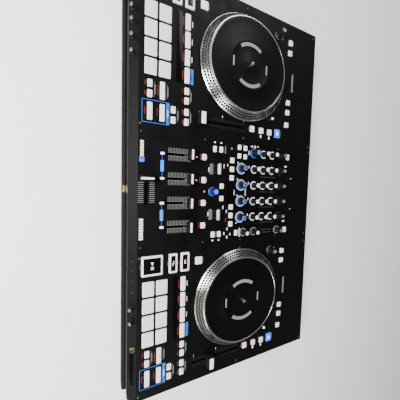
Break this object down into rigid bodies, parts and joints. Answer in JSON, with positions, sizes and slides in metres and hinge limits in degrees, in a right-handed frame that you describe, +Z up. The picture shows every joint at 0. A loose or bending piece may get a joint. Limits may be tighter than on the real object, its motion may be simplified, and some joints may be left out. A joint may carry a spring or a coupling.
{
  "type": "dj controller",
  "caption": "Wide two-deck mixing controller with motor-driven platters, pad banks, a knob and fader mixer, pitch faders and effect paddles in a black case.",
  "frame": {"origin": "under the middle of the case, on the surface that the feet stand on", "axes": "+X to the player's right along the longest side, +Y away from the player, +Z up"},
  "size_m": [0.8, 0.46, 0.0965],
  "materials": {
    "case_plastic": "fine-grained black moulding",
    "panel_metal": "matte black powder coat",
    "rubber_feet": "matte",
    "platter_metal": "turned, satin",
    "record_vinyl": "grooved, semi-gloss",
    "motor_steel": "zinc plated",
    "pad_silicone": "translucent white silicone, matte",
    "key_plastic": "pale, fine matte",
    "knob_rubber": "matte black, soft touch",
    "blue_rubber": "matte blue, soft touch",
    "fader_plastic": "matte black with a white line",
    "paddle_metal": "bead blasted",
    "display_glass": "glossy black window",
    "circuit_board": "green solder mask",
    "supply_steel": "plain sheet",
    "rear_steel": "black, satin",
    "socket_plastic": "black, satin",
    "switch_plastic": "black, gloss",
    "socket_gold": "gold plated"
  },
  "bodies": {
    "chassis": {"bottom_case": "case_plastic", "front_panel": "panel_metal", "left_deck_plate": "panel_metal", "mixer_plate": "panel_metal", "right_deck_plate": "panel_metal", "foot_front_left": "rubber_feet", "foot_front_right": "rubber_feet", "foot_rear_left": "rubber_feet", "foot_rear_right": "rubber_feet", "left_motor": "motor_steel", "right_motor": "motor_steel", "display_module": "display_glass", "main_board": "circuit_board", "power_supply": "supply_steel", "rear_panel": "rear_steel", "rear_sockets": "socket_plastic", "power_inlet": "socket_plastic", "headphone_jack": "socket_gold"},
    "left_platter": {"left_platter": "platter_metal"},
    "left_record": {"left_record": "record_vinyl"},
    "left_pad_mat": {"left_pad_mat": "pad_silicone"},
    "left_key_frame": {"left_key_frame": "key_plastic"},
    "left_stop_time_knob": {"left_stop_time_knob": "knob_rubber"},
    "left_pitch_fader": {"left_pitch_fader": "fader_plastic"},
    "left_effect_paddle": {"left_effect_paddle": "paddle_metal"},
    "right_platter": {"right_platter": "platter_metal"},
    "right_record": {"right_record": "record_vinyl"},
    "right_pad_mat": {"right_pad_mat": "pad_silicone"},
    "right_key_frame": {"right_key_frame": "key_plastic"},
    "right_stop_time_knob": {"right_stop_time_knob": "knob_rubber"},
    "right_pitch_fader": {"right_pitch_fader": "fader_plastic"},
    "right_effect_paddle": {"right_effect_paddle": "paddle_metal"},
    "channel_1_trim_knob": {"channel_1_trim_knob": "knob_rubber"},
    "channel_1_high_knob": {"channel_1_high_knob": "knob_rubber"},
    "channel_1_mid_knob": {"channel_1_mid_knob": "knob_rubber"},
    "channel_1_low_knob": {"channel_1_low_knob": "knob_rubber"},
    "channel_1_filter_knob": {"channel_1_filter_knob": "blue_rubber"},
    "channel_1_fader": {"channel_1_fader": "fader_plastic"},
    "channel_2_trim_knob": {"channel_2_trim_knob": "knob_rubber"},
    "channel_2_high_knob": {"channel_2_high_knob": "knob_rubber"},
    "channel_2_mid_knob": {"channel_2_mid_knob": "knob_rubber"},
    "channel_2_low_knob": {"channel_2_low_knob": "knob_rubber"},
    "channel_2_filter_knob": {"channel_2_filter_knob": "blue_rubber"},
    "channel_2_fader": {"channel_2_fader": "fader_plastic"},
    "channel_3_trim_knob": {"channel_3_trim_knob": "knob_rubber"},
    "channel_3_high_knob": {"channel_3_high_knob": "knob_rubber"},
    "channel_3_mid_knob": {"channel_3_mid_knob": "knob_rubber"},
    "channel_3_low_knob": {"channel_3_low_knob": "knob_rubber"},
    "channel_3_filter_knob": {"channel_3_filter_knob": "blue_rubber"},
    "channel_3_fader": {"channel_3_fader": "fader_plastic"},
    "channel_4_trim_knob": {"channel_4_trim_knob": "knob_rubber"},
    "channel_4_high_knob": {"channel_4_high_knob": "knob_rubber"},
    "channel_4_mid_knob": {"channel_4_mid_knob": "knob_rubber"},
    "channel_4_low_knob": {"channel_4_low_knob": "knob_rubber"},
    "channel_4_filter_knob": {"channel_4_filter_knob": "blue_rubber"},
    "channel_4_fader": {"channel_4_fader": "fader_plastic"},
    "effect_amount_knob": {"effect_amount_knob": "blue_rubber"},
    "browse_knob": {"browse_knob": "blue_rubber"},
    "crossfader": {"crossfader": "fader_plastic"},
    "power_switch": {"power_switch": "switch_plastic"}
  },
  "joints": [
    {"name": "left_platter_spin", "type": "hinge", "parent": "chassis", "child": "left_platter", "pos_m": [-0.2646, 0.0176, 0.07], "axis": [0, 0, -1], "continuous": true},
    {"name": "left_record_slip", "type": "hinge", "parent": "left_platter", "child": "left_record", "pos_m": [-0.2646, 0.0176, 0.0855], "axis": [0, 0, -1], "continuous": true},
    {"name": "left_pads_press", "type": "slide", "parent": "chassis", "child": "left_pad_mat", "axis": [0, 0, -1], "range_m": [0, 0.001], "stiffness_N_per_m": 2500, "springref_m": -0.002},
    {"name": "left_keys_press", "type": "slide", "parent": "chassis", "child": "left_key_frame", "axis": [0, 0, -1], "range_m": [0, 0.0008], "stiffness_N_per_m": 2500, "springref_m": -0.002},
    {"name": "left_stop_time_turn", "type": "hinge", "parent": "chassis", "child": "left_stop_time_knob", "pos_m": [-0.363, 0.105, 0.07], "axis": [0, 0, -1], "range_deg": [-150, 150]},
    {"name": "left_pitch_slide", "type": "slide", "parent": "chassis", "child": "left_pitch_fader", "axis": [0, -1, 0], "range_m": [-0.103, 0.001]},
    {"name": "right_platter_spin", "type": "hinge", "parent": "chassis", "child": "right_platter", "pos_m": [0.2366, 0.0176, 0.07], "axis": [0, 0, -1], "continuous": true},
    {"name": "right_record_slip", "type": "hinge", "parent": "right_platter", "child": "right_record", "pos_m": [0.2366, 0.0176, 0.0855], "axis": [0, 0, -1], "continuous": true},
    {"name": "right_pads_press", "type": "slide", "parent": "chassis", "child": "right_pad_mat", "axis": [0, 0, -1], "range_m": [0, 0.001], "stiffness_N_per_m": 2500, "springref_m": -0.002},
    {"name": "right_keys_press", "type": "slide", "parent": "chassis", "child": "right_key_frame", "axis": [0, 0, -1], "range_m": [0, 0.0008], "stiffness_N_per_m": 2500, "springref_m": -0.002},
    {"name": "right_stop_time_turn", "type": "hinge", "parent": "chassis", "child": "right_stop_time_knob", "pos_m": [0.1382, 0.105, 0.07], "axis": [0, 0, -1], "range_deg": [-150, 150]},
    {"name": "right_pitch_slide", "type": "slide", "parent": "chassis", "child": "right_pitch_fader", "axis": [0, -1, 0], "range_m": [-0.071, 0.033]},
    {"name": "channel_1_trim_turn", "type": "hinge", "parent": "chassis", "child": "channel_1_trim_knob", "pos_m": [-0.052, 0.1275, 0.07], "axis": [0, 0, -1], "range_deg": [-150, 150]},
    {"name": "channel_1_high_turn", "type": "hinge", "parent": "chassis", "child": "channel_1_high_knob", "pos_m": [-0.052, 0.102, 0.07], "axis": [0, 0, -1], "range_deg": [-150, 150]},
    {"name": "channel_1_mid_turn", "type": "hinge", "parent": "chassis", "child": "channel_1_mid_knob", "pos_m": [-0.052, 0.076, 0.07], "axis": [0, 0, -1], "range_deg": [-150, 150]},
    {"name": "channel_1_low_turn", "type": "hinge", "parent": "chassis", "child": "channel_1_low_knob", "pos_m": [-0.052, 0.05, 0.07], "axis": [0, 0, -1], "range_deg": [-150, 150]},
    {"name": "channel_1_filter_turn", "type": "hinge", "parent": "chassis", "child": "channel_1_filter_knob", "pos_m": [-0.052, 0.015, 0.07], "axis": [0, 0, -1], "range_deg": [-150, 150]},
    {"name": "channel_1_fader_slide", "type": "slide", "parent": "chassis", "child": "channel_1_fader", "axis": [0, -1, 0], "range_m": [0, 0.045]},
    {"name": "channel_2_trim_turn", "type": "hinge", "parent": "chassis", "child": "channel_2_trim_knob", "pos_m": [-0.016, 0.1275, 0.07], "axis": [0, 0, -1], "range_deg": [-150, 150]},
    {"name": "channel_2_high_turn", "type": "hinge", "parent": "chassis", "child": "channel_2_high_knob", "pos_m": [-0.016, 0.102, 0.07], "axis": [0, 0, -1], "range_deg": [-150, 150]},
    {"name": "channel_2_mid_turn", "type": "hinge", "parent": "chassis", "child": "channel_2_mid_knob", "pos_m": [-0.016, 0.076, 0.07], "axis": [0, 0, -1], "range_deg": [-150, 150]},
    {"name": "channel_2_low_turn", "type": "hinge", "parent": "chassis", "child": "channel_2_low_knob", "pos_m": [-0.016, 0.05, 0.07], "axis": [0, 0, -1], "range_deg": [-150, 150]},
    {"name": "channel_2_filter_turn", "type": "hinge", "parent": "chassis", "child": "channel_2_filter_knob", "pos_m": [-0.016, 0.015, 0.07], "axis": [0, 0, -1], "range_deg": [-150, 150]},
    {"name": "channel_2_fader_slide", "type": "slide", "parent": "chassis", "child": "channel_2_fader", "axis": [0, -1, 0], "range_m": [0, 0.045]},
    {"name": "channel_3_trim_turn", "type": "hinge", "parent": "chassis", "child": "channel_3_trim_knob", "pos_m": [0.0198, 0.1275, 0.07], "axis": [0, 0, -1], "range_deg": [-150, 150]},
    {"name": "channel_3_high_turn", "type": "hinge", "parent": "chassis", "child": "channel_3_high_knob", "pos_m": [0.0198, 0.102, 0.07], "axis": [0, 0, -1], "range_deg": [-150, 150]},
    {"name": "channel_3_mid_turn", "type": "hinge", "parent": "chassis", "child": "channel_3_mid_knob", "pos_m": [0.0198, 0.076, 0.07], "axis": [0, 0, -1], "range_deg": [-150, 150]},
    {"name": "channel_3_low_turn", "type": "hinge", "parent": "chassis", "child": "channel_3_low_knob", "pos_m": [0.0198, 0.05, 0.07], "axis": [0, 0, -1], "range_deg": [-150, 150]},
    {"name": "channel_3_filter_turn", "type": "hinge", "parent": "chassis", "child": "channel_3_filter_knob", "pos_m": [0.0198, 0.015, 0.07], "axis": [0, 0, -1], "range_deg": [-150, 150]},
    {"name": "channel_3_fader_slide", "type": "slide", "parent": "chassis", "child": "channel_3_fader", "axis": [0, -1, 0], "range_m": [0, 0.045]},
    {"name": "channel_4_trim_turn", "type": "hinge", "parent": "chassis", "child": "channel_4_trim_knob", "pos_m": [0.0556, 0.1275, 0.07], "axis": [0, 0, -1], "range_deg": [-150, 150]},
    {"name": "channel_4_high_turn", "type": "hinge", "parent": "chassis", "child": "channel_4_high_knob", "pos_m": [0.0556, 0.102, 0.07], "axis": [0, 0, -1], "range_deg": [-150, 150]},
    {"name": "channel_4_mid_turn", "type": "hinge", "parent": "chassis", "child": "channel_4_mid_knob", "pos_m": [0.0556, 0.076, 0.07], "axis": [0, 0, -1], "range_deg": [-150, 150]},
    {"name": "channel_4_low_turn", "type": "hinge", "parent": "chassis", "child": "channel_4_low_knob", "pos_m": [0.0556, 0.05, 0.07], "axis": [0, 0, -1], "range_deg": [-150, 150]},
    {"name": "channel_4_filter_turn", "type": "hinge", "parent": "chassis", "child": "channel_4_filter_knob", "pos_m": [0.0556, 0.015, 0.07], "axis": [0, 0, -1], "range_deg": [-150, 150]},
    {"name": "channel_4_fader_slide", "type": "slide", "parent": "chassis", "child": "channel_4_fader", "axis": [0, -1, 0], "range_m": [0, 0.045]},
    {"name": "crossfader_slide", "type": "slide", "parent": "chassis", "child": "crossfader", "axis": [1, 0, 0], "range_m": [0, 0.045]},
    {"name": "effect_amount_turn", "type": "hinge", "parent": "chassis", "child": "effect_amount_knob", "pos_m": [-0.088, 0.048, 0.07], "axis": [0, 0, -1], "range_deg": [-150, 150]},
    {"name": "browse_turn", "type": "hinge", "parent": "chassis", "child": "browse_knob", "pos_m": [0, -0.056, 0.07], "axis": [0, 0, -1], "continuous": true},
    {"name": "left_paddle_tip", "type": "hinge", "parent": "chassis", "child": "left_effect_paddle", "pos_m": [-0.0465, -0.047, 0.062], "axis": [1, 0, 0], "range_deg": [-14, 14], "stiffness_Nm_per_rad": 0.08},
    {"name": "right_paddle_tip", "type": "hinge", "parent": "chassis", "child": "right_effect_paddle", "pos_m": [0.0475, -0.047, 0.062], "axis": [1, 0, 0], "range_deg": [-14, 14], "stiffness_Nm_per_rad": 0.08},
    {"name": "power_rocker", "type": "hinge", "parent": "chassis", "child": "power_switch", "pos_m": [0.3, 0.22, 0.04], "axis": [1, 0, 0], "range_deg": [-7, 7]}
  ]
}
